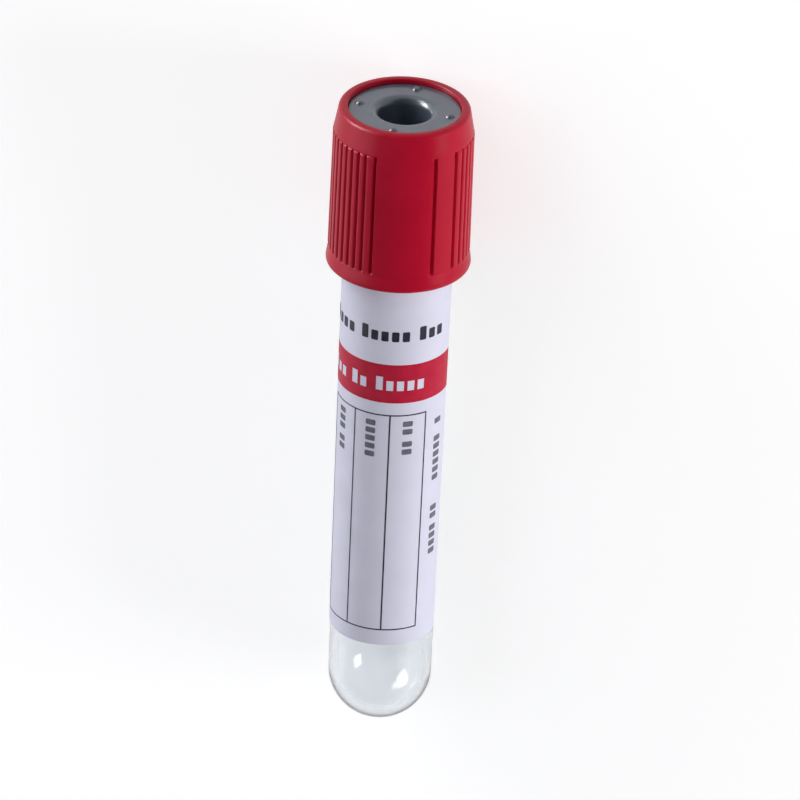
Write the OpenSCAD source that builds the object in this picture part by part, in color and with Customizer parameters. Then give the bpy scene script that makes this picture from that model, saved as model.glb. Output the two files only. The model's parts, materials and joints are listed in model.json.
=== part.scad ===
// Blood collection tube: a clear tube with a round end, a rubber stopper held in a red cap that
// covers the mouth, and a printed paper label wrapped half way round. It lies on its side with
// the label up, on the lip of the cap and on its round end.
//
// Each piece is drawn upright: the axis of the tube is Z, its round end touches Z = 0, and angle 0
// is its front. lie_down() then takes every piece to its resting place. Label distances run to the
// right from the label's left edge and down from its top edge, along the paper.

/* [Tube] */
// Length of the tube, round end to mouth
tube_len = 75; // [65:1:100]
// Outer diameter at the mouth
tube_mouth_d = 13; // [12.6:0.1:13.6]
// Outer diameter where the round end starts
tube_end_d = 12.25; // [11.8:0.05:12.6]
// Thickness of the side wall
tube_wall = 1; // [0.8:0.05:1.3]
// Thickness of the round end
tube_end_wall = 1.2; // [0.8:0.1:2]
// Rounding of the two edges of the mouth
mouth_round = 0.25; // [0.1:0.05:0.35]

/* [Stopper] */
// Diameter of the head
head_d = 13.5; // [13.3:0.05:14]
// How far the head stands above the mouth of the tube
head_h = 5.85; // [5:0.05:7]
// Rounding of the head's top edge
head_round = 0.3; // [0.1:0.05:0.5]
// Length of the plug inside the tube
plug_len = 8.5; // [7:0.1:10]
// Rounding of the plug's lower edge
plug_round = 0.5; // [0.2:0.1:0.8]
// Diameter of the needle well
well_d = 6; // [5:0.1:7]
// Depth of the needle well
well_depth = 5; // [4.4:0.1:5.5]
// Rounding of the well's lip
well_lip = 0.95; // [0.5:0.05:1.2]
// Rounding of the well's floor
well_floor_round = 0.7; // [0.3:0.1:1]
// Thickness of rubber that the needle goes through
septum = 3; // [2:0.1:4]
// Diameter of the hollow under the septum
hollow_d = 6.4; // [5:0.1:7]
// Radius of each of the four nubs on the head
nub_r = 0.6; // [0.3:0.05:0.7]
// Height of the nubs
nub_h = 0.36; // [0.15:0.01:0.4]
// Distance of the nubs from the axis
nub_ring_r = 5.4; // [5.2:0.05:5.7]
// Angle of the first nub
nub_turn = -13.5; // [-45:0.5:45]

/* [Cap] */
// How far the cap stands above the head of the stopper
rim_h = 0.6; // [0.5:0.05:1]
// How far the cap reaches down over the tube
cap_cover = 13.95; // [12:0.05:18]
// Width of the ring that shows round the stopper
rim_w = 1.1; // [1:0.05:1.4]
// Rounding of the rim's outer edge
rim_round = 0.55; // [0.3:0.05:0.7]
// How far the rim reaches in over the stopper
rim_catch = 0.12; // [0.05:0.01:0.25]
// Wall of the skirt at the grip
skirt_wall = 1.67; // [1.4:0.01:2]
// Height of the plain band at the top
top_band_h = 3.2; // [2:0.1:4]
// How far the grip stands proud of the plain top band
grip_proud = 0.09; // [0.05:0.01:0.2]
// How much wider the radius of the grip gets towards its lower end
grip_draft = 0.08; // [0:0.01:0.2]
// Height of the plain band at the foot
foot_band_h = 2.2; // [1.8:0.05:3]
// How far the foot's lip stands out from the grip
foot_flare = 0.17; // [0.05:0.01:0.3]
// Rounding of the foot's lip
foot_round = 0.45; // [0.2:0.05:0.6]
// Height of the inner bead that holds the stopper
bead_h = 0.8; // [0.5:0.1:1.2]
// How far the inner bead reaches into the stopper
bead_in = 0.3; // [0.1:0.05:0.4]
// Depth of the inner bead below the top of the stopper
bead_down = 2.6; // [1.5:0.1:3.5]

/* [Grip] */
// Angle across each of the two wide smooth panels
wide_panel = 51; // [40:1:60]
// Angle across each of the two narrow panels
narrow_panel = 21; // [15:1:26]
// Angle across the rib at each end of a group
end_rib = 8.5; // [7.5:0.5:10]
// Fine ribs between the two narrow panels
near_ribs = 10; // [6:1:12]
// Fine ribs between the two wide panels
far_ribs = 16; // [12:1:18]
// Angle of the wide panel's left edge
grip_turn = -22.7; // [-90:0.1:90]
// Width of the grooves between fine ribs
fine_groove_w = 0.36; // [0.2:0.02:0.5]
// Depth of the grooves between fine ribs
fine_groove = 0.22; // [0.1:0.01:0.3]
// Width of the grooves beside a panel
panel_groove_w = 0.44; // [0.3:0.02:0.6]
// Depth of the grooves beside a panel
panel_groove = 0.36; // [0.2:0.01:0.45]
// How far the grooves run out past the grip, above and below
groove_run_out = 0.22; // [0.1:0.01:0.3]

/* [Label] */
// Height of the label
label_h = 48; // [40:0.5:50]
// Width of the label along the paper
label_w = 20.9; // [18:0.1:26]
// Thickness of the label
label_t = 0.1; // [0.06:0.01:0.15]
// Thickness of the glue under the label
glue_t = 0.02; // [0.01:0.01:0.05]
// Radius of the label's corners
label_corner = 1; // [0.5:0.1:2]
// Gap between the foot of the cap and the label
label_gap = 0.4; // [0.2:0.1:2]
// Angle of the middle of the label
label_turn = -17; // [-60:1:60]
// Thickness of the print
ink_t = 0.05; // [0.03:0.01:0.08]
// Clearance under the print
ink_gap = 0.02; // [0.01:0.01:0.03]

/* [Label print] */
// Distance down to the title
title_down = 5.2; // [4:0.1:6]
// Distance from the label's left edge to the title
title_in = 2.7; // [2:0.1:4]
// Distance down to the red band
band_down = 10.1; // [9:0.1:12]
// Height of the red band
band_h = 5.1; // [4:0.1:6]
// Height of the large marks, on the title and the red band
large_mark_h = 1.8; // [1.2:0.1:2.2]
// Height of the marks after the first of each word, as a share of the first
low_mark_share = 0.72; // [0.6:0.02:1]
// Distance between large marks
large_step = 1.22; // [1.1:0.01:1.3]
// Distance down to the ruled table
table_down = 16.8; // [16.5:0.1:20]
// Height of the ruled table
table_h = 29.2; // [20:0.1:29.4]
// Distance from the label's left edge to the table
table_in = 3.4; // [3:0.1:4]
// Width of each column of the table
column_w = 4.37; // [4:0.01:4.6]
// Width of the ruled lines
line_w = 0.16; // [0.1:0.01:0.3]
// Height of the small marks, in the columns and the margins
small_mark_h = 1.2; // [1:0.1:1.8]
// Distance between small marks
small_step = 1.05; // [0.95:0.01:1.15]
// Share of a step that its mark takes up
mark_share = 0.68; // [0.5:0.02:0.85]

/* [Fits] */
// Clearance round the plug of the stopper
plug_gap = 0.05; // [0.02:0.01:0.1]
// Clearance between the skirt of the cap and the tube, at the mouth of the tube
skirt_gap = 0.08; // [0.04:0.01:0.1]
// How much wider the skirt's clearance gets towards its foot
skirt_lead = 0.12; // [0.05:0.01:0.25]
// Clearance between the stopper and the cap
head_gap = 0.05; // [0.02:0.01:0.1]
// Gap between the head of the stopper and the mouth of the tube
seat_gap = 0.05; // [0.02:0.01:0.1]

/* [Rest] */
// How far the tube lies rolled about its own length, from its front facing up
rest_roll = 15; // [-180:0.25:180]

/* [Hidden] */
$fn = 96;
OVERCUT = 1;                    // how far a cutting shape passes the face it cuts

// Tube: its outer cone starts at the middle of the round end, and its bore likewise
end_r = tube_end_d / 2;
mouth_r = tube_mouth_d / 2;
bore_end_r = end_r - tube_wall;
bore_end_z = tube_end_wall + bore_end_r;
function between(low, high, share) = low + (high - low) * share;
function tube_r(z) = between(end_r, mouth_r, (z - end_r) / (tube_len - end_r));
function bore_r(z) = between(bore_end_r, mouth_r - tube_wall, (z - bore_end_z) / (tube_len - bore_end_z));

// Stopper
head_r = head_d / 2;
well_r = well_d / 2;
seat_z = tube_len + seat_gap;
head_top = tube_len + head_h;
plug_low = tube_len - plug_len;
well_floor = head_top - well_depth;
hollow_top = well_floor - septum;
bead_top = head_top - bead_down;

// Cap
cap_top = head_top + rim_h;
cap_low = tube_len - cap_cover;
pocket_r = head_r + head_gap;
catch_r = head_r - rim_catch;
bead_r = head_r - bead_in;
rim_r = catch_r + rim_w;
skirt_r = mouth_r + skirt_gap;
skirt_low_r = tube_r(cap_low) + skirt_gap + skirt_lead;
grip_r = skirt_r + skirt_wall;
grip_low_r = grip_r + grip_draft;
grip_top_z = cap_top - top_band_h;
grip_low_z = cap_low + foot_band_h;
foot_r = grip_low_r + foot_flare;
foot_edge_z = cap_low + foot_round;

// Grip: the angles of the panels and ribs in turn, which together make a full turn
fine_rib = (360 - 2 * (wide_panel + narrow_panel) - 4 * end_rib) / (near_ribs + far_ribs);
lands = concat([wide_panel, narrow_panel, end_rib], [for (n = [1:near_ribs]) fine_rib],
               [end_rib, narrow_panel, wide_panel, end_rib], [for (n = [1:far_ribs]) fine_rib],
               [end_rib]);
function sum_before(list, n) = n == 0 ? 0 : sum_before(list, n - 1) + list[n - 1];
function beside_panel(n) = max(lands[n], lands[(n + len(lands) - 1) % len(lands)]) >= narrow_panel;

// Label: the paper's arc is measured on the tube at the label's middle height
label_top = cap_low - label_gap;
label_r = tube_r(label_top - label_h / 2);
function arc_deg(mm) = mm / label_r * 180 / PI;
label_left = label_turn - arc_deg(label_w) / 2;
paper_high = glue_t + label_t;
ink_low = paper_high + ink_gap;
ink_high = ink_low + ink_t;

// Print: each word is a number of plain marks
title_words = [4, 5, 3];
band_words = [3, 2, 5];
column_words = [[3, 2], [5], [2, 2]];
margin_words = [[1], [6], [2, 4]];
side_words = [4];
large_space = 0.8;
small_space = 0.6;
head_words_down = 0.9;          // from the table's top line to the first mark of a column
margin_words_down = [1.6, 4, 13.4];
side_words_down = 41;           // from the label's top edge to the marks in the left margin
side_words_in = 0.9;

// Resting place: the plane that touches the lip of the cap and the ball of the round end
arm_len = foot_edge_z - end_r;
arm_drop = foot_r - foot_round;
rest_tilt = atan2(arm_drop, arm_len) + asin((foot_round - end_r) / norm([arm_len, arm_drop]));
rest_low_x = end_r * cos(rest_tilt) - end_r;
rest_high_x = (cap_top - rim_round) * cos(rest_tilt) + (rim_r - rim_round) * sin(rest_tilt) + rim_round;
rest_lift = end_r * (1 - sin(rest_tilt));

module lie_down() {
    translate([-(rest_low_x + rest_high_x) / 2, 0, rest_lift])
        rotate([0, -rest_tilt, 0]) rotate([180, 0, 0]) rotate([0, 90, 0]) rotate([0, 0, rest_roll])
            children();
}

// What rounding takes off a square corner that points up and to the right; the arc is about [0, 0]
module corner_off(r) {
    difference() {
        square(r + OVERCUT);
        circle(r);
    }
}

// Half section of a round-ended solid whose ball sits at centre_z
module round_ended(ball_r, centre_z, top_r, top_z) {
    polygon([[0, centre_z], [ball_r, centre_z], [top_r, top_z], [0, top_z]]);
    intersection() {
        translate([0, centre_z]) circle(ball_r);
        translate([0, centre_z - ball_r]) square([ball_r, ball_r]);
    }
}

module tube() {
    color([0.90, 0.93, 0.96, 0.35]) lie_down() rotate_extrude() difference() {
        round_ended(end_r, end_r, mouth_r, tube_len);
        round_ended(bore_end_r, bore_end_z, bore_r(tube_len + OVERCUT), tube_len + OVERCUT);
        translate([mouth_r - mouth_round, tube_len - mouth_round]) corner_off(mouth_round);
        translate([mouth_r - tube_wall + mouth_round, tube_len - mouth_round])
            mirror([1, 0]) corner_off(mouth_round);
    }
}

// Half section of the needle well, with its rounded floor and lip
module well_section() {
    difference() {
        translate([0, well_floor]) square([well_r, well_depth + OVERCUT]);
        translate([well_r - well_floor_round, well_floor + well_floor_round])
            mirror([0, 1]) corner_off(well_floor_round);
    }
    translate([well_r + well_lip, head_top - well_lip]) mirror([1, 0]) corner_off(well_lip);
}

module stopper() {
    color([0.46, 0.49, 0.54]) lie_down() {
        rotate_extrude() difference() {
            union() {
                translate([0, seat_z]) square([head_r, head_top - seat_z]);
                polygon([[0, plug_low], [bore_r(plug_low) - plug_gap, plug_low],
                         [bore_r(tube_len) - plug_gap, tube_len],
                         [bore_r(tube_len) - plug_gap, seat_z + OVERCUT], [0, seat_z + OVERCUT]]);
            }
            translate([head_r - head_round, head_top - head_round]) corner_off(head_round);
            translate([bore_r(plug_low) - plug_gap - plug_round, plug_low + plug_round])
                mirror([0, 1]) corner_off(plug_round);
            translate([bead_r - head_gap, bead_top - bead_h - head_gap])
                square([bead_in + head_gap + OVERCUT, bead_h + 2 * head_gap]);
            well_section();
            translate([0, plug_low - OVERCUT]) square([hollow_d / 2, hollow_top - plug_low + OVERCUT]);
        }
        for (n = [0:3]) rotate([0, 0, nub_turn + 90 * n])
            translate([nub_ring_r, 0, head_top + nub_h - nub_r]) sphere(nub_r);
    }
}

// One V-shaped groove down the grip
module groove(angle, width, depth) {
    reach = depth + foot_flare + grip_draft + OVERCUT;
    rotate([0, 0, angle]) translate([grip_r - depth, 0, grip_low_z - groove_run_out])
        linear_extrude(grip_top_z - grip_low_z + 2 * groove_run_out)
            polygon([[0, 0], [reach, -width / 2 * reach / depth], [reach, width / 2 * reach / depth]]);
}

module cap() {
    color([0.69, 0.07, 0.16]) lie_down() difference() {
        rotate_extrude() difference() {
            polygon([[catch_r, cap_top], [rim_r, cap_top], [grip_r - grip_proud, grip_top_z + grip_proud],
                     [grip_r, grip_top_z], [grip_low_r, grip_low_z],
                     [grip_low_r - grip_proud, grip_low_z - grip_proud], [foot_r, foot_edge_z],
                     [foot_r, cap_low], [skirt_low_r, cap_low], [skirt_r, tube_len],
                     [pocket_r, tube_len], [pocket_r, bead_top - bead_h], [bead_r, bead_top - bead_h],
                     [bead_r, bead_top], [pocket_r, bead_top], [pocket_r, head_top], [catch_r, head_top]]);
            translate([rim_r - rim_round, cap_top - rim_round]) corner_off(rim_round);
            translate([foot_r - foot_round, foot_edge_z]) mirror([0, 1]) corner_off(foot_round);
        }
        for (n = [0:len(lands) - 1])
            if (beside_panel(n)) groove(grip_turn + sum_before(lands, n), panel_groove_w, panel_groove);
            else groove(grip_turn + sum_before(lands, n), fine_groove_w, fine_groove);
    }
}

// A piece of a thin layer on the tube: it lies between two distances to the right and two down,
// from one height above the tube's wall to another
module patch(right, down, low, high) {
    top = label_top - down[0];
    foot = label_top - down[1];
    rotate([0, 0, label_left + arc_deg(right[0])]) rotate_extrude(angle = arc_deg(right[1] - right[0]))
        polygon([[tube_r(foot) + low, foot], [tube_r(foot) + high, foot],
                 [tube_r(top) + high, top], [tube_r(top) + low, top]]);
}

module ink(right, down) { patch(right, down, ink_low, ink_high); }

// What rounding takes off one corner of the label; across and up are 1 or -1
module label_corner_off(angle, z, across, up) {
    rotate([0, 0, angle]) translate([0, 0, z]) rotate([90, 0, 90])
        linear_extrude(mouth_r + OVERCUT) mirror([across < 0 ? 1 : 0, 0]) mirror([0, up < 0 ? 1 : 0])
            translate([-label_corner, -label_corner]) corner_off(label_corner);
}

module label() {
    left = label_left;
    right = label_left + arc_deg(label_w);
    color([0.85, 0.85, 0.91]) lie_down() difference() {
        patch([0, label_w], [0, label_h], glue_t, paper_high);
        label_corner_off(right, label_top, 1, 1);
        label_corner_off(left, label_top, -1, 1);
        label_corner_off(right, label_top - label_h, 1, -1);
        label_corner_off(left, label_top - label_h, -1, -1);
    }
}

// Where each mark of a row of words starts
function mark_starts(words, step, space) =
    [for (w = [0:len(words) - 1]) for (n = [0:words[w] - 1]) (sum_before(words, w) + n) * step + w * space];

function starts_word(words, n) = len(search(n, [for (w = [0:len(words) - 1]) sum_before(words, w)])) > 0;

// A row of large marks that runs to the right; the first of each word is the tallest
module marks_across(words, right, down, low, high) {
    starts = mark_starts(words, large_step, large_space);
    for (n = [0:len(starts) - 1]) {
        drop = starts_word(words, n) ? 0 : large_mark_h * (1 - low_mark_share);
        patch([right + starts[n], right + starts[n] + large_step * mark_share],
              [down + drop, down + large_mark_h], low, high);
    }
}

// A row of small marks that runs down the label, centred on a line
module marks_down(words, middle, down) {
    for (start = mark_starts(words, small_step, small_space))
        ink([middle - small_mark_h / 2, middle + small_mark_h / 2],
            [down + start, down + start + small_step * mark_share]);
}

module label_red_print() {
    color([0.70, 0.08, 0.18]) lie_down() difference() {
        ink([0, label_w], [band_down, band_down + band_h]);
        marks_across(band_words, title_in, band_down + (band_h - large_mark_h) / 2, 0, OVERCUT);
    }
}

module label_dark_print() {
    table_right = table_in + 3 * column_w;
    margin_middle = (table_right + label_w) / 2;
    color([0.20, 0.19, 0.26]) lie_down() {
        marks_across(title_words, title_in, title_down, ink_low, ink_high);
        for (n = [0:3])
            ink([table_in + n * column_w, table_in + n * column_w + line_w],
                [table_down + line_w, table_down + table_h - line_w]);
        for (down = [table_down, table_down + table_h - line_w])
            ink([table_in, table_right + line_w], [down, down + line_w]);
        for (n = [0:2])
            marks_down(column_words[n], table_in + (n + 0.5) * column_w, table_down + head_words_down);
        for (n = [0:2])
            marks_down(margin_words[n], margin_middle, table_down + margin_words_down[n]);
        marks_down(side_words, side_words_in + small_mark_h / 2, side_words_down);
    }
}

tube();
stopper();
cap();
label();
label_red_print();
label_dark_print();
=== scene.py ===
"""Looks of a blood collection tube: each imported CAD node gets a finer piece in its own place.

Lengths in the tables below are in millimetres and angles in degrees. Points are first set out in
the tube's own frame: its axis is z, z = 0 is the round end, and angle 0 is its front, from which
angles run to the right as the label is read. to_row() takes them to the row frame, in metres.
"""
import json
import math

import bpy
import numpy as np
from mathutils import Matrix, Vector


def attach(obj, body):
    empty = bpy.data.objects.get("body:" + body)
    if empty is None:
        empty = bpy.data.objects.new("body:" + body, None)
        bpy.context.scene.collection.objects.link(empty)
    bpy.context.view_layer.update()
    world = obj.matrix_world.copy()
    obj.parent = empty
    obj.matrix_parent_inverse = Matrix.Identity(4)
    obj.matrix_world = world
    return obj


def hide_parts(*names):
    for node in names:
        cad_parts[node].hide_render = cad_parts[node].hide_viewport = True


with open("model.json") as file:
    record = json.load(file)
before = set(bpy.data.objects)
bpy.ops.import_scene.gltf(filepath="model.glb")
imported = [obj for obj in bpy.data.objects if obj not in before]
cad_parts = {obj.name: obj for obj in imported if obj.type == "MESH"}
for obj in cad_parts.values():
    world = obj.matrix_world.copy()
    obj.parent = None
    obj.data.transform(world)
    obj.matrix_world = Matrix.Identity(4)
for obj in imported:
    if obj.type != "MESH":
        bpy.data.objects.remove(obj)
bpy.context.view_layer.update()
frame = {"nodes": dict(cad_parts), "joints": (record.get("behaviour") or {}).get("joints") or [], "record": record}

MM = 0.001

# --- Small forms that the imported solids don't give as one number -------------------------------

# Tube
TUBE_WALL, TUBE_END_WALL, MOUTH_ROUND = 1.0, 1.2, 0.25

# Stopper: well, hollow under the septum, plug, head, and the nubs on the head
WELL_R, WELL_DEPTH, WELL_LIP, WELL_FLOOR_ROUND = 3.0, 5.0, 0.95, 0.7
SEPTUM, HOLLOW_R, HOLLOW_ROUND = 3.0, 3.2, 0.3
PLUG_ROUND, PLUG_INNER_ROUND, PLUG_ROOT_ROUND = 0.5, 0.15, 0.05
HEAD_ROUND, HEAD_FOOT_ROUND, BEAD_GROOVE_BEVEL = 0.3, 0.15, 0.06
NUBS, NUB_R, NUB_H, NUB_RING_R, NUB_TURN, NUB_FILLET = 4, 0.6, 0.36, 5.4, -13.5, 0.03

# Cap: rim, bands, foot, inner bead, and the fits of the cap and the stopper
RIM_W, RIM_ROUND, RIM_INNER_ROUND, RIM_CATCH = 1.1, 0.55, 0.2, 0.12
TOP_BAND_H, FOOT_BAND_H, GRIP_PROUD, GRIP_DRAFT = 3.2, 2.2, 0.09, 0.08
FOOT_FLARE, FOOT_ROUND, FOOT_EDGE_H, SKIRT_FOOT_ROUND = 0.17, 0.45, 0.25, 0.2
BEAD_H, BEAD_IN, BEAD_DOWN, BEAD_BEVEL = 0.8, 0.3, 2.6, 0.1
SKIRT_GAP, SKIRT_LEAD, HEAD_GAP, SEAT_GAP, PLUG_GAP = 0.08, 0.12, 0.05, 0.05, 0.05

# Grip: its smooth panels and ribs in degrees, its grooves, and where its ends turn into the bands
WIDE, NARROW, END_RIB, NEAR_RIBS, FAR_RIBS, GRIP_TURN = 51, 21, 8.5, 10, 16, -22.7
FINE_GROOVE, PANEL_GROOVE = (0.36, 0.22), (0.44, 0.36)      # width, depth
GROOVE_SPREAD = 1.3     # a rounded groove is wider by this, so that its steep part keeps the width
GROOVE_RUN_OUT, GROOVE_FADE_OUT, GROOVE_FADE_IN = 0.22, 0.06, 0.12
RIB_CROWN, PANEL_RISE = 0.03, 1.2
BAND_STRAIGHT_H, FOOT_STRAIGHT_H, FOOT_STRAIGHT_OUT, GRIP_END_H = 0.30, 0.34, 0.02, 0.2

# Label and its print
LABEL_TURN, LABEL_CORNER, GLUE_T, LABEL_T = -17, 1.0, 0.02, 0.1
INK_GAP, INK_T, MARK_CORNER = 0.006, 0.014, 0.16
TITLE_DOWN, TITLE_IN, BAND_DOWN, BAND_H = 5.2, 2.7, 10.1, 5.1
LARGE_MARK_H, LOW_MARK_SHARE, LARGE_STEP, LARGE_SPACE = 1.8, 0.72, 1.22, 0.8
TABLE_DOWN, TABLE_H, TABLE_IN, COLUMN_W, LINE_W = 16.8, 29.2, 3.4, 4.37, 0.16
SMALL_MARK_H, SMALL_STEP, SMALL_SPACE, MARK_SHARE = 1.2, 1.05, 0.6, 0.68
HEAD_WORDS_DOWN, SIDE_WORDS_DOWN, SIDE_WORDS_IN = 0.9, 41, 0.9
MARGIN_WORDS_DOWN = (1.6, 4, 13.4)

# How many marks each word has
TITLE_WORDS, BAND_WORDS, SIDE_WORDS = (4, 5, 3), (3, 2, 5), (4,)
COLUMN_WORDS = ((3, 2), (5,), (2, 2))
MARGIN_WORDS = ((1,), (6,), (2, 4))

# How fine the meshes are: degrees round the axis, and millimetres across a sheet
TUBE_TURN_STEP, STOPPER_TURN_STEP, RIB_TURN_STEP = 2, 0.9375, 1.6
PAPER_STEP, INK_STEP, SHEET_ROW_STEP = 0.35, 0.3, 3
SHARP_EDGE = 35         # degrees

# --- The tube's own frame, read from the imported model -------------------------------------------

record = frame["record"]
AXIS = np.array(frame["joints"][0]["axis"], float)
AXIS /= np.linalg.norm(AXIS)
UP = np.array([0.0, 0.0, 1.0]) - AXIS[2] * AXIS
UP /= np.linalg.norm(UP)
SIDE = np.cross(AXIS, UP)
IN_WELL = np.array(next(m["pos_m"] for m in record["mounts"] if m["name"] == "needle_well"), float)


def vertices(node):
    """The points of a node's mesh, in metres, in the row frame"""
    mesh = frame["nodes"][node].data
    found = np.zeros(len(mesh.vertices) * 3)
    mesh.vertices.foreach_get("co", found)
    return found.reshape(-1, 3)


ORIGIN = IN_WELL + ((vertices("tube") - IN_WELL) @ AXIS).min() * AXIS


def measured(node):
    """(height along the axis, distance from it, angle from straight up) of a node's vertices"""
    off = vertices(node) - ORIGIN
    up, side = off @ UP, off @ SIDE
    return off @ AXIS / MM, np.hypot(up, side) / MM, np.degrees(np.arctan2(side, up))


tube_z, tube_off, _ = measured("tube")
stopper_z, stopper_off, _ = measured("stopper")
cap_z, cap_off, _ = measured("cap")
label_z, _, label_deg = measured("label")

TUBE_LEN, MOUTH_R = tube_z.max(), tube_off.max()
on_ball = (tube_z > TUBE_LEN / 200) & (tube_z < TUBE_LEN / 20)      # points of the round end only
END_R = ((tube_off**2 + tube_z**2) / (2 * np.maximum(tube_z, 1e-6)))[on_ball].max()
HEAD_TOP, HEAD_R, PLUG_LOW = stopper_z.max() - NUB_H, stopper_off.max(), stopper_z.min()
CAP_TOP, CAP_LOW, FOOT_R = cap_z.max(), cap_z.min(), cap_off.max()
LABEL_TOP, LABEL_LOW = label_z.max(), label_z.min()
FRONT = math.radians((label_deg.min() + label_deg.max()) / 2 - LABEL_TURN)
AHEAD = math.cos(FRONT) * UP + math.sin(FRONT) * SIDE
RIGHT = math.cos(FRONT) * SIDE - math.sin(FRONT) * UP
LABEL_LEFT = label_deg.min() - math.degrees(FRONT)
LABEL_RIGHT = label_deg.max() - math.degrees(FRONT)
GRIP_LOW_R = FOOT_R - FOOT_FLARE
GRIP_R = GRIP_LOW_R - GRIP_DRAFT
GRIP_TOP_Z, GRIP_LOW_Z = CAP_TOP - TOP_BAND_H, CAP_LOW + FOOT_BAND_H
BEAD_TOP = HEAD_TOP - BEAD_DOWN


def tube_r(z):
    """Outer radius of the tapered wall"""
    return END_R + (MOUTH_R - END_R) * (z - END_R) / (TUBE_LEN - END_R)


def bore_r(z):
    """Inner radius of the tapered wall"""
    start_r, start_z = END_R - TUBE_WALL, TUBE_END_WALL + END_R - TUBE_WALL
    return start_r + (MOUTH_R - TUBE_WALL - start_r) * (z - start_z) / (TUBE_LEN - start_z)


MM_PER_DEG = tube_r((LABEL_TOP + LABEL_LOW) / 2) * math.pi / 180
LABEL_W = (LABEL_RIGHT - LABEL_LEFT) * MM_PER_DEG
LABEL_H = LABEL_TOP - LABEL_LOW


def to_row(points):
    """From the tube's own frame, in millimetres, to the row frame, in metres"""
    p = np.asarray(points, float).reshape(-1, 3) * MM
    return ORIGIN + p[:, :1] * AHEAD + p[:, 1:2] * RIGHT + p[:, 2:] * AXIS


# --- Meshes ------------------------------------------------------------------------------------


def piece(name, points, faces, node, body, slot, material):
    """An object that stands for a node, rides on its body and has its material. The slot argument is not used."""
    mesh = bpy.data.meshes.new(name)
    mesh.from_pydata(to_row(points).tolist(), [], faces)
    mesh.validate()
    for polygon in mesh.polygons:
        polygon.use_smooth = True
    mesh.set_sharp_from_angle(angle=math.radians(SHARP_EDGE))
    mesh.materials.append(material)
    made = bpy.data.objects.new(name, mesh)
    bpy.context.scene.collection.objects.link(made)
    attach(made, body)
    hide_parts(node)
    return made


def arc(centre_r, centre_z, radius, start, stop, count):
    """Points of a half section on an arc; 0 degrees points out and 90 up"""
    turn = np.radians(np.linspace(start, stop, count))
    return [(centre_r + radius * math.cos(t), centre_z + radius * math.sin(t)) for t in turn]


def line(start, stop, step):
    """Points of a half section from start up to, but not with, stop"""
    count = max(int(math.ceil(math.dist(start, stop) / step)), 1)
    return [tuple(np.add(start, np.subtract(stop, start) * n / count)) for n in range(count)]


def turned(section, degrees, shape=None):
    """A half section turned about the axis. It is a closed loop, or starts and ends on the axis,
    and its outside is on its right when r points right and z up: the other way round, the faces
    point inwards. shape(r, z, degrees) may move the points of each ring."""
    count, points, faces, rings = len(degrees), [], [], []
    closed = section[0][0] > 1e-6
    for r, z in section:
        if r < 1e-6:
            rings.append([len(points)] * count)
            points.append((0, 0, z))
            continue
        moved_r, moved_z = (r, z) if shape is None else shape(r, z, degrees)
        moved_r, moved_z = np.broadcast_to(moved_r, count), np.broadcast_to(moved_z, count)
        turn = np.radians(degrees)
        rings.append(list(range(len(points), len(points) + count)))
        points += zip(moved_r * np.cos(turn), moved_r * np.sin(turn), moved_z)
    pairs = list(zip(rings, rings[1:] + rings[:1])) if closed else list(zip(rings, rings[1:]))
    for low, high in pairs:
        for n in range(count):
            m = (n + 1) % count
            corners = [low[n], low[m], high[m], high[n]]
            faces.append(tuple(dict.fromkeys(corners)))
    return points, faces


def sheet(right, down, low, high, corner, step):
    """A thin closed layer on the tube between two distances across and two down the label, with
    rounded corners, from one height above the tube's wall to another"""
    width, height = right[1] - right[0], down[1] - down[0]
    corner = min(corner, width / 2 - 1e-4, height / 2 - 1e-4)
    turn = np.radians(np.linspace(0, 90, 7 if corner > 0.05 else 2))
    ends = corner * (1 - np.cos(turn))
    between = np.linspace(corner, height - corner, max(int(height / SHEET_ROW_STEP) + 1, 2))
    rows = np.unique(np.concatenate([ends, between[1:-1], height - ends[::-1]]).round(6))
    inset = corner - np.sqrt(np.maximum(corner**2 - np.maximum(
        np.maximum(corner - rows, rows - height + corner), 0) ** 2, 0))
    columns = max(int(math.ceil(width / step)) + 1, 3)
    points = []
    for level in (low, high):
        for row, cut in zip(rows, inset):
            z = LABEL_TOP - down[0] - row
            across = np.linspace(right[0] + cut, right[1] - cut, columns)
            turn = np.radians(LABEL_LEFT + across / MM_PER_DEG)
            r = tube_r(z) + level
            points += zip(r * np.cos(turn), r * np.sin(turn), np.full(columns, z))
    layer, faces = len(rows) * columns, []
    for n in range(len(rows) - 1):
        for m in range(columns - 1):
            a = n * columns + m
            quad = (a, a + columns, a + columns + 1, a + 1)
            faces.append(tuple(reversed(quad)))
            faces.append(tuple(layer + point for point in quad))
    last = (len(rows) - 1) * columns
    rim = list(range(columns)) + [n * columns + columns - 1 for n in range(1, len(rows))]
    rim += [last + m for m in range(columns - 2, -1, -1)]
    rim += [n * columns for n in range(len(rows) - 2, 0, -1)]
    for a, b in zip(rim, rim[1:] + rim[:1]):
        faces.append((a, a + layer, b + layer, b))
    return points, faces


def joined(parts):
    """One mesh of several closed ones"""
    points, faces = [], []
    for more_points, more_faces in parts:
        faces += [tuple(len(points) + point for point in face) for face in more_faces]
        points += more_points
    return points, faces


# --- Materials ---------------------------------------------------------------------------------


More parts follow.
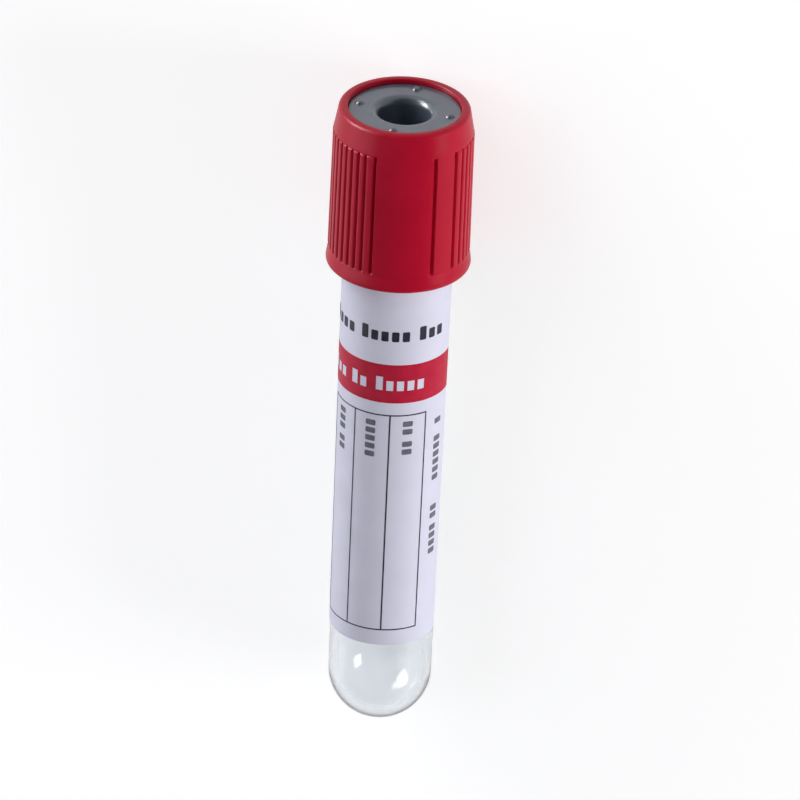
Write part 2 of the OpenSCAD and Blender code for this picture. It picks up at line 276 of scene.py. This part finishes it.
def surface(name, dark, light, roughness, patch_mm, grain_mm, grain_um, fixed):
    """A Principled material. Its colour varies between dark and light in soft patches, and its
    grain varies the roughness and lifts the surface. fixed gives the values that are the same all
    over, by socket name."""
    material = bpy.data.materials.new(name)
    material.use_nodes = True
    nodes, link = material.node_tree.nodes, material.node_tree.links.new
    shader = nodes["Principled BSDF"]
    for socket, value in fixed.items():
        shader.inputs[socket].default_value = value
    place = nodes.new("ShaderNodeTexCoord").outputs["Object"]

    def noise(size_mm, detail):
        made = nodes.new("ShaderNodeTexNoise")
        made.inputs["Scale"].default_value = 1 / (size_mm * MM)
        made.inputs["Detail"].default_value = detail
        link(place, made.inputs["Vector"])
        return made.outputs["Fac"]

    patches, grain = noise(patch_mm, 3), noise(grain_mm, 4)
    ramp = nodes.new("ShaderNodeValToRGB")
    ramp.color_ramp.elements[0].position, ramp.color_ramp.elements[1].position = 0.3, 0.7
    ramp.color_ramp.elements[0].color = (*dark, 1)
    ramp.color_ramp.elements[1].color = (*light, 1)
    link(patches, ramp.inputs["Fac"])
    link(ramp.outputs["Color"], shader.inputs["Base Color"])
    spread = nodes.new("ShaderNodeMapRange")
    spread.inputs["To Min"].default_value, spread.inputs["To Max"].default_value = roughness
    link(grain, spread.inputs["Value"])
    link(spread.outputs["Result"], shader.inputs["Roughness"])
    bump = nodes.new("ShaderNodeBump")
    bump.inputs["Strength"].default_value = 0.6
    bump.inputs["Distance"].default_value = grain_um * 1e-6
    link(grain, bump.inputs["Height"])
    link(bump.outputs["Normal"], shader.inputs["Normal"])
    link(bump.outputs["Normal"], shader.inputs["Coat Normal"])
    return material


CLEAR = surface("clear_pet", (0.95, 0.965, 0.98), (0.98, 0.985, 0.99), (0.03, 0.07), 9, 3, 6,
                {"Transmission Weight": 0.95, "IOR": 1.57})
absorption = CLEAR.node_tree.nodes.new("ShaderNodeVolumeAbsorption")
absorption.inputs["Color"].default_value = (0.72, 0.78, 0.84, 1)
absorption.inputs["Density"].default_value = 180
clear_output = CLEAR.node_tree.nodes["Material Output"]
CLEAR.node_tree.links.new(absorption.outputs[0], clear_output.inputs["Volume"])
RUBBER = surface("butyl_rubber", (0.060, 0.078, 0.112), (0.086, 0.106, 0.146), (0.35, 0.50),
                 2.5, 0.2, 12,
                 {"IOR": 1.5, "Specular IOR Level": 0.5,
                  "Coat Weight": 0.9, "Coat Roughness": 0.12})
RED = surface("red_polyethylene", (0.445, 0.002, 0.021), (0.495, 0.003, 0.027), (0.34, 0.44),
              4, 0.25, 7,
              {"IOR": 1.51, "Specular IOR Level": 0.2, "Coat Weight": 0.12, "Coat Roughness": 0.2})
PAPER = surface("label_paper", (0.715, 0.71, 0.845), (0.745, 0.74, 0.88), (0.42, 0.56),
                3, 0.09, 6, {"Specular IOR Level": 0.3})
RED_INK = surface("red_print", (0.48, 0.012, 0.04), (0.53, 0.018, 0.052), (0.40, 0.52),
                  1.2, 0.09, 4, {"Specular IOR Level": 0.2})
DARK_INK = surface("dark_print", (0.020, 0.016, 0.034), (0.040, 0.034, 0.060), (0.45, 0.6),
                   0.8, 0.09, 4, {"Specular IOR Level": 0.4})
GREY_INK = surface("grey_print", (0.13, 0.125, 0.165), (0.19, 0.185, 0.23), (0.45, 0.6),
                   0.8, 0.09, 4, {"Specular IOR Level": 0.3})

# --- Tube --------------------------------------------------------------------------------------

bore_end_r = END_R - TUBE_WALL
bore_end_z = TUBE_END_WALL + bore_end_r
in_mouth_r = MOUTH_R - TUBE_WALL
mouth_z = TUBE_LEN - MOUTH_ROUND
section = [(0, 0)] + arc(0, END_R, END_R, -90, 0, 25)[1:]
section += line((END_R, END_R), (tube_r(mouth_z), mouth_z), 1.5)[1:]
section += arc(MOUTH_R - MOUTH_ROUND, mouth_z, MOUTH_ROUND, 0, 90, 7)
section += arc(in_mouth_r + MOUTH_ROUND, mouth_z, MOUTH_ROUND, 90, 180, 7)
section += line((in_mouth_r, mouth_z), (bore_end_r, bore_end_z), 1.5)[1:]
section += arc(0, bore_end_z, bore_end_r, 0, -90, 25)[:-1] + [(0, TUBE_END_WALL)]
piece("tube_wall", *turned(section, np.arange(0, 360, TUBE_TURN_STEP)),
      "tube", "tube_body", "clear_tube", CLEAR)

# --- Stopper -----------------------------------------------------------------------------------

seat_z, head_in = TUBE_LEN + SEAT_GAP, HEAD_R - BEAD_IN - HEAD_GAP
plug_r, plug_low_r = bore_r(TUBE_LEN) - PLUG_GAP, bore_r(PLUG_LOW) - PLUG_GAP
well_floor = HEAD_TOP - WELL_DEPTH
hollow_top = well_floor - SEPTUM
groove_low, groove_high = BEAD_TOP - BEAD_H - HEAD_GAP, BEAD_TOP + HEAD_GAP
hollow_round_z = hollow_top - HOLLOW_ROUND
plug_inner_z = PLUG_LOW + PLUG_INNER_ROUND
well_lip_z, well_round_z = HEAD_TOP - WELL_LIP, well_floor + WELL_FLOOR_ROUND
section = [(0, hollow_top)] + line((0.8, hollow_top), (HOLLOW_R - HOLLOW_ROUND, hollow_top), 0.8)
section += arc(HOLLOW_R - HOLLOW_ROUND, hollow_round_z, HOLLOW_ROUND, 90, 0, 5)
section += line((HOLLOW_R, hollow_round_z), (HOLLOW_R, plug_inner_z), 1)[1:]
section += arc(HOLLOW_R + PLUG_INNER_ROUND, plug_inner_z, PLUG_INNER_ROUND, 180, 270, 4)
section += arc(plug_low_r - PLUG_ROUND, PLUG_LOW + PLUG_ROUND, PLUG_ROUND, -90, 0, 8)
section += line((plug_low_r, PLUG_LOW + PLUG_ROUND), (plug_r, TUBE_LEN), 1)[1:]
section += arc(plug_r + PLUG_ROOT_ROUND, seat_z - PLUG_ROOT_ROUND, PLUG_ROOT_ROUND, 180, 90, 3)
section += arc(HEAD_R - HEAD_FOOT_ROUND, seat_z + HEAD_FOOT_ROUND, HEAD_FOOT_ROUND, -90, 0, 4)
section += [(HEAD_R, groove_low - BEAD_GROOVE_BEVEL), (HEAD_R - BEAD_GROOVE_BEVEL, groove_low),
            (head_in, groove_low), (head_in, groove_high),
            (HEAD_R - BEAD_GROOVE_BEVEL, groove_high), (HEAD_R, groove_high + BEAD_GROOVE_BEVEL)]
section += arc(HEAD_R - HEAD_ROUND, HEAD_TOP - HEAD_ROUND, HEAD_ROUND, 0, 90, 7)
section += line((HEAD_R - HEAD_ROUND, HEAD_TOP), (WELL_R + WELL_LIP, HEAD_TOP), 0.075)[1:]
section += arc(WELL_R + WELL_LIP, well_lip_z, WELL_LIP, 90, 180, 16)
section += line((WELL_R, well_lip_z), (WELL_R, well_round_z), 0.6)[1:]
section += arc(WELL_R - WELL_FLOOR_ROUND, well_round_z, WELL_FLOOR_ROUND, 0, -90, 8)
section += [(1.5, well_floor), (0.7, well_floor), (0, well_floor)]


def with_nubs(r, z, degrees):
    """The nubs rise from the flat top of the head with a small fillet"""
    if z < HEAD_TOP - 1e-3 or r < WELL_R + WELL_LIP:
        return r, z
    height = np.zeros(len(degrees))
    for n in range(NUBS):
        turn = np.radians(NUB_TURN + 360 / NUBS * n)
        away = np.hypot(r * np.cos(np.radians(degrees)) - NUB_RING_R * math.cos(turn),
                        r * np.sin(np.radians(degrees)) - NUB_RING_R * math.sin(turn))
        dome = np.sqrt(np.maximum(NUB_R**2 - away**2, 0)) - NUB_R + NUB_H
        height = np.maximum(height, (dome + np.hypot(dome, NUB_FILLET)) / 2 * (away < 1.5 * NUB_R))
    return r, z + np.minimum(height, NUB_H)


piece("rubber_stopper", *turned(section, np.arange(0, 360, STOPPER_TURN_STEP), with_nubs),
      "stopper", "closure", "grey_rubber", RUBBER)

# --- Cap ---------------------------------------------------------------------------------------

pocket_r, catch_r, bead_r = HEAD_R + HEAD_GAP, HEAD_R - RIM_CATCH, HEAD_R - BEAD_IN
rim_r = catch_r + RIM_W
skirt_r = MOUTH_R + SKIRT_GAP
skirt_low_r = tube_r(CAP_LOW) + SKIRT_GAP + SKIRT_LEAD
foot_edge_z = CAP_LOW + FOOT_ROUND

# The lands between the grooves, from the near wide panel round to the right
fine_rib = (360 - 2 * (WIDE + NARROW) - 4 * END_RIB) / (NEAR_RIBS + FAR_RIBS)
lands = [WIDE, NARROW, END_RIB] + [fine_rib] * NEAR_RIBS + [END_RIB, NARROW, WIDE, END_RIB]
lands += [fine_rib] * FAR_RIBS + [END_RIB]
starts = GRIP_TURN + np.cumsum([0] + lands[:-1])
grooves = [PANEL_GROOVE if max(lands[n], lands[n - 1]) >= NARROW else FINE_GROOVE
           for n in range(len(lands))]
half_turns = [math.degrees(width / 2 / GRIP_R) * GROOVE_SPREAD for width, _ in grooves]

# The angles of the mesh: nine across each groove, and even ones on the land after it
cap_turns = []
for n, (start, land) in enumerate(zip(starts, lands)):
    cap_turns += [start + share * half_turns[n] for share in np.linspace(-1, 1, 9)]
    first, last = start + half_turns[n], start + land - half_turns[(n + 1) % len(lands)]
    count = max(int((last - first) / RIB_TURN_STEP), 2)
    cap_turns += list(np.linspace(first, last, count + 2)[1:-1])
cap_turns = np.array(cap_turns)


def rounded_step(low, high, value):
    """Rises softly from 0 at low to 1 at high"""
    share = np.clip((value - low) / (high - low), 0, 1)
    return share * share * (3 - 2 * share)


def along_grip(degrees):
    """Each angle's depth of groove, how far the crown of its rib falls, and 1 where a panel is"""
    depth, crown, panel = np.zeros((3, len(degrees)))
    for start, land, half, (_, deep) in zip(starts, lands, half_turns, grooves):
        away = np.abs((degrees - start + 180) % 360 - 180)
        depth = np.maximum(depth, deep * rounded_step(1, 0, away / half))
        if land < NARROW:
            middle = np.abs((degrees - start - land / 2 + 180) % 360 - 180) / (land / 2)
            crown = np.where(middle <= 1, RIB_CROWN * middle**2, crown)
        else:
            panel = np.where((degrees - start) % 360 <= land, 1.0, panel)
    return depth, crown, panel


groove_depth, rib_fall, on_panel = along_grip(cap_turns)


def with_grip(r, z, degrees):
    """Cuts the grooves, crowns the ribs, and lets the panels rise gently from the top band"""
    if r < skirt_r + 0.5 or not GRIP_LOW_Z - 0.5 < z < GRIP_TOP_Z + 0.5:
        return r, z
    run_out = GROOVE_RUN_OUT + GROOVE_FADE_OUT
    share = rounded_step(GRIP_LOW_Z - run_out, GRIP_LOW_Z + GROOVE_FADE_IN, z)
    share = share * (1 - rounded_step(GRIP_TOP_Z - GROOVE_FADE_IN, GRIP_TOP_Z + run_out, z))
    rise = max(r - (GRIP_R - GRIP_PROUD), 0) * rounded_step(GRIP_TOP_Z - PANEL_RISE, GRIP_TOP_Z, z)
    return r - share * (groove_depth + rib_fall) - rise * on_panel, z


band_r, foot_band_r = GRIP_R - GRIP_PROUD, GRIP_LOW_R - GRIP_PROUD
foot_straight = (foot_band_r + FOOT_STRAIGHT_OUT, GRIP_LOW_Z - FOOT_STRAIGHT_H)
skirt_foot_z = CAP_LOW + SKIRT_FOOT_ROUND
bead_low = BEAD_TOP - BEAD_H

# Outside, from the rim down to the foot
section = arc(rim_r - RIM_ROUND, CAP_TOP - RIM_ROUND, RIM_ROUND, 90, 8, 12)
section += line(section[-1], (band_r, GRIP_TOP_Z + BAND_STRAIGHT_H), 0.5)[1:]
section += line((band_r, GRIP_TOP_Z + BAND_STRAIGHT_H), (band_r, GRIP_TOP_Z + GRIP_PROUD), 0.05)
section += line((band_r, GRIP_TOP_Z + GRIP_PROUD), (GRIP_R - 0.01, GRIP_TOP_Z), 0.04)
section += line((GRIP_R, GRIP_TOP_Z - 0.03), (GRIP_R, GRIP_TOP_Z - GRIP_END_H), 0.06)
section += line((GRIP_R, GRIP_TOP_Z - GRIP_END_H), (GRIP_R, GRIP_TOP_Z - PANEL_RISE), 0.2)
section += line((GRIP_R, GRIP_TOP_Z - PANEL_RISE), (GRIP_LOW_R, GRIP_LOW_Z + GRIP_END_H), 1.0)
section += line((GRIP_LOW_R, GRIP_LOW_Z + GRIP_END_H), (GRIP_LOW_R, GRIP_LOW_Z), 0.06)
section += line((GRIP_LOW_R, GRIP_LOW_Z), (foot_band_r, GRIP_LOW_Z - GRIP_PROUD), 0.04)
section += line((foot_band_r, GRIP_LOW_Z - GRIP_PROUD), foot_straight, 0.06)
section += line(foot_straight, (FOOT_R, foot_edge_z + FOOT_EDGE_H), 0.3)
section += arc(FOOT_R - FOOT_ROUND, foot_edge_z, FOOT_ROUND, 0, -90, 9)

# Inside, from the foot of the skirt up to the rim
section += line((FOOT_R - FOOT_ROUND, CAP_LOW), (skirt_low_r + SKIRT_FOOT_ROUND, CAP_LOW), 0.5)[1:]
section += arc(skirt_low_r + SKIRT_FOOT_ROUND, skirt_foot_z, SKIRT_FOOT_ROUND, -90, -180, 5)
section += line((skirt_low_r, skirt_foot_z), (skirt_r, TUBE_LEN), 1.5)[1:]
section += [(skirt_r, TUBE_LEN), (pocket_r, TUBE_LEN), (pocket_r, bead_low)]
section += [(bead_r + BEAD_BEVEL, bead_low), (bead_r, bead_low + BEAD_BEVEL),
            (bead_r, BEAD_TOP - BEAD_BEVEL), (bead_r + BEAD_BEVEL, BEAD_TOP)]
section += [(pocket_r, BEAD_TOP), (pocket_r, HEAD_TOP), (catch_r, HEAD_TOP)]
section += arc(catch_r + RIM_INNER_ROUND, CAP_TOP - RIM_INNER_ROUND, RIM_INNER_ROUND, 180, 90, 6)
section += line((catch_r + RIM_INNER_ROUND, CAP_TOP), (rim_r - RIM_ROUND, CAP_TOP), 0.12)[1:]
piece("ribbed_cap", *turned(section[::-1], cap_turns, with_grip),
      "cap", "closure", "red_plastic", RED)

# --- Label and its print -----------------------------------------------------------------------

PAPER_HIGH = GLUE_T + LABEL_T
INK = (PAPER_HIGH + INK_GAP, PAPER_HIGH + INK_GAP + INK_T)
piece("paper_label",
      *sheet((0, LABEL_W), (0, LABEL_H), GLUE_T, PAPER_HIGH, LABEL_CORNER, PAPER_STEP),
      "label", "tube_body", "white_paper", PAPER)


def mark_starts(words, step, space):
    """Where each mark starts in a run of words"""
    return [(sum(words[:w]) + n) * step + w * space
            for w in range(len(words)) for n in range(words[w])]


def large_marks(words, right, down):
    """(left, right, top, foot) of each mark of a row; the first mark of each word is the tallest"""
    firsts = [sum(words[:w]) for w in range(len(words))]
    drop = LARGE_MARK_H * (1 - LOW_MARK_SHARE)
    return [(right + start, right + start + LARGE_STEP * MARK_SHARE,
             down + (0 if n in firsts else drop), down + LARGE_MARK_H)
            for n, start in enumerate(mark_starts(words, LARGE_STEP, LARGE_SPACE))]


def mark(right, down, width, height):
    """A plain mark with rounded corners"""
    return sheet((right, right + width), (down, down + height), *INK, MARK_CORNER, INK_STEP)


def strip(right, down):
    """A line, or a part of the band, with square corners"""
    return sheet(right, down, *INK, 0.0, INK_STEP)


def marks_down(words, middle, down):
    """Small marks below each other"""
    return [mark(middle - SMALL_MARK_H / 2, down + start, SMALL_MARK_H, SMALL_STEP * MARK_SHARE)
            for start in mark_starts(words, SMALL_STEP, SMALL_SPACE)]


table_right = TABLE_IN + 3 * COLUMN_W
table_foot = TABLE_DOWN + TABLE_H - LINE_W
margin_middle = (table_right + LABEL_W) / 2
dark = [mark(left, top, right - left, foot - top)
        for left, right, top, foot in large_marks(TITLE_WORDS, TITLE_IN, TITLE_DOWN)]
dark += [strip((left, left + LINE_W), (TABLE_DOWN + LINE_W, table_foot))
         for left in (TABLE_IN + n * COLUMN_W for n in range(4))]
dark += [strip((TABLE_IN, table_right + LINE_W), (down, down + LINE_W))
         for down in (TABLE_DOWN, table_foot)]
piece("dark_print", *joined(dark), "label_dark_print", "tube_body", "dark_ink", DARK_INK)

# The small marks stand for thin lettering, so their ink looks paler
pale = []
for n, words in enumerate(COLUMN_WORDS):
    pale += marks_down(words, TABLE_IN + (n + 0.5) * COLUMN_W, TABLE_DOWN + HEAD_WORDS_DOWN)
for words, down in zip(MARGIN_WORDS, MARGIN_WORDS_DOWN):
    pale += marks_down(words, margin_middle, TABLE_DOWN + down)
pale += marks_down(SIDE_WORDS, SIDE_WORDS_IN + SMALL_MARK_H / 2, SIDE_WORDS_DOWN)
piece("small_print", *joined(pale), "label_dark_print", "tube_body", "dark_ink", GREY_INK)

# The red band is made of strips, so that its knocked-out marks show the paper
marks_top = BAND_DOWN + (BAND_H - LARGE_MARK_H) / 2
marks_foot = marks_top + LARGE_MARK_H
band = [strip((0, LABEL_W), (BAND_DOWN, marks_top)),
        strip((0, LABEL_W), (marks_foot, BAND_DOWN + BAND_H))]
done = 0.0
for left, right, top, foot in large_marks(BAND_WORDS, TITLE_IN, marks_top):
    band.append(strip((done, left), (marks_top, marks_foot)))
    if top > marks_top:
        band.append(strip((left, right), (marks_top, top)))
    done = right
band.append(strip((done, LABEL_W), (marks_top, marks_foot)))
piece("red_print", *joined(band), "label_red_print", "tube_body", "red_ink", RED_INK)

# --- Floor, camera and light -------------------------------------------------------------------


def calculator(tree):
    """A function that adds a math node to a node tree and gives its result"""
    def add(operation, *inputs):
        made = tree.nodes.new("ShaderNodeMath")
        made.operation = operation
        for socket, value in zip(made.inputs, inputs):
            if isinstance(value, (int, float)):
                socket.default_value = value
            else:
                tree.links.new(value, socket)
        return made.outputs[0]
    return add


# The world is white for the camera. Gloss and clear plastic see it white at the height of the
# object and dim high above it, as in a room with a dim ceiling. As a light it is weaker.
AMBIENT, SKY_IN_GLOSS, SKY_THROUGH, BACKDROP_HEIGHT = 0.25, 0.02, 0.35, 0.5
world = bpy.data.worlds.new("studio")
bpy.context.scene.world = world
world.use_nodes = True
background = world.node_tree.nodes["Background"]
background.inputs["Color"].default_value = (1, 1, 1, 1)
world_math = calculator(world.node_tree)
ray = world.node_tree.nodes.new("ShaderNodeLightPath").outputs
where = world.node_tree.nodes.new("ShaderNodeSeparateXYZ")
way = world.node_tree.nodes.new("ShaderNodeTexCoord")
world.node_tree.links.new(way.outputs["Generated"], where.inputs[0])


def backdrop(sky):
    """1 at the horizon and sky from BACKDROP_HEIGHT up"""
    made = world.node_tree.nodes.new("ShaderNodeMapRange")
    made.interpolation_type = "SMOOTHSTEP"
    made.inputs["From Max"].default_value = BACKDROP_HEIGHT
    made.inputs["To Min"].default_value, made.inputs["To Max"].default_value = 1.0, sky
    world.node_tree.links.new(where.outputs["Z"], made.inputs["Value"])
    return made.outputs["Result"]


in_gloss = world_math("MULTIPLY", ray["Is Glossy Ray"], backdrop(SKY_IN_GLOSS))
through = world_math("MULTIPLY", ray["Is Transmission Ray"], backdrop(SKY_THROUGH))
seen = world_math("MAXIMUM", ray["Is Glossy Ray"], ray["Is Transmission Ray"])
as_light = world_math("MULTIPLY", world_math("SUBTRACT", 1.0, seen), AMBIENT)
strength = world_math("MAXIMUM", world_math("MAXIMUM", in_gloss, through), as_light)
strength = world_math("MAXIMUM", strength, ray["Is Camera Ray"])
world.node_tree.links.new(strength, background.inputs["Strength"])

# The floor glows for the camera and through clear plastic, so that it looks as white as the world,
# and a little less in gloss
FLOOR_HALF, FLOOR_COLOUR, FLOOR_GLOW, FLOOR_GLOW_IN_GLOSS = 30, (0.58, 0.58, 0.59), 0.66, 0.5
floor_mesh = bpy.data.meshes.new("floor")
floor_corners = [(x * FLOOR_HALF, y * FLOOR_HALF, 0)
                 for x, y in ((-1, -1), (1, -1), (1, 1), (-1, 1))]
floor_mesh.from_pydata(floor_corners, [], [(0, 1, 2, 3)])
floor = bpy.data.objects.new("floor", floor_mesh)
bpy.context.scene.collection.objects.link(floor)
floor_material = bpy.data.materials.new("pale_floor")
floor_material.use_nodes = True
floor_math = calculator(floor_material.node_tree)
ray = floor_material.node_tree.nodes.new("ShaderNodeLightPath").outputs
seen = floor_math("MAXIMUM", ray["Is Camera Ray"], ray["Is Transmission Ray"])
glow = floor_math("MAXIMUM", floor_math("MULTIPLY", seen, FLOOR_GLOW),
                  floor_math("MULTIPLY", ray["Is Glossy Ray"], FLOOR_GLOW_IN_GLOSS))
matt = floor_material.node_tree.nodes["Principled BSDF"]
matt.inputs["Base Color"].default_value = (*FLOOR_COLOUR, 1)
matt.inputs["Roughness"].default_value = 0.9
matt.inputs["Specular IOR Level"].default_value = 0.0
matt.inputs["Emission Color"].default_value = (1, 1, 1, 1)
floor_material.node_tree.links.new(glow, matt.inputs["Emission Strength"])
floor_mesh.materials.append(floor_material)

# The camera looks at the tube's front from above its cap, and the tube leans a little in view
CAMERA_ABOVE, CAMERA_LEAN, CAMERA_AWAY, VIEW_HEIGHT = 29, 2.6, 1.45, 0.094      # degrees, metres
SENSOR_MM = 36
tilt, lean = math.radians(CAMERA_ABOVE), math.radians(CAMERA_LEAN)
back = Vector(math.cos(tilt) * AHEAD + math.sin(tilt) * AXIS)
level_up = (Vector(AXIS) - Vector(AXIS).dot(back) * back).normalized()
level_right = level_up.cross(back)
view_up = math.cos(lean) * level_up - math.sin(lean) * level_right
view_right = math.cos(lean) * level_right + math.sin(lean) * level_up
corners = np.concatenate([vertices(node) for node in frame["nodes"]])


def middle_along(direction):
    """The middle of the object's reach along a direction"""
    reach = corners @ np.array(direction)
    return float(reach.min() + reach.max()) / 2


target = sum((middle_along(d) * d for d in (view_right, view_up, back)), Vector())
camera_data = bpy.data.cameras.new("camera")
camera_data.sensor_width = SENSOR_MM
camera_data.lens = SENSOR_MM * CAMERA_AWAY / VIEW_HEIGHT
camera_data.clip_start, camera_data.clip_end = 0.01, 100
camera = bpy.data.objects.new("camera", camera_data)
bpy.context.scene.collection.objects.link(camera)
turned_to = Matrix((view_right, view_up, back)).transposed().to_4x4()
camera.matrix_world = Matrix.Translation(target + back * CAMERA_AWAY) @ turned_to
bpy.context.scene.camera = camera


def softbox(name, towards, away, size, watts, colour=(1, 1, 1)):
    """A square area light that faces the object; towards is (right, up, back) in the camera's view,
    away and size are in metres"""
    data = bpy.data.lights.new(name, "AREA")
    data.size, data.energy, data.color = size, watts, colour
    light = bpy.data.objects.new(name, data)
    bpy.context.scene.collection.objects.link(light)
    direction = (towards[0] * view_right + towards[1] * view_up + towards[2] * back).normalized()
    light.location = target + direction * away
    light.rotation_euler = direction.to_track_quat("Z", "Y").to_euler()
    return light


# The key light comes a little from the foot, so that the left of the well's lip stays dark
key = softbox("key", (0.98, -0.3, 0.36), 0.9, 0.4, 7.7)
key.visible_glossy = False          # gloss shines from the left and from over the cap only
softbox("over_cap", (-0.8, 0.82, 0.1), 0.8, 0.6, 7.3)
softbox("fill", (-0.97, -0.1, 0.25), 1.0, 0.9, 3.0, (0.9, 0.92, 1.0))
window = softbox("window", (-0.88, 0.42, 0.2), 1.2, 0.7, 16)
window.visible_diffuse = False      # it shines only in gloss, such as the rim's, well's and nubs'

bpy.context.scene.view_settings.view_transform = "Standard"
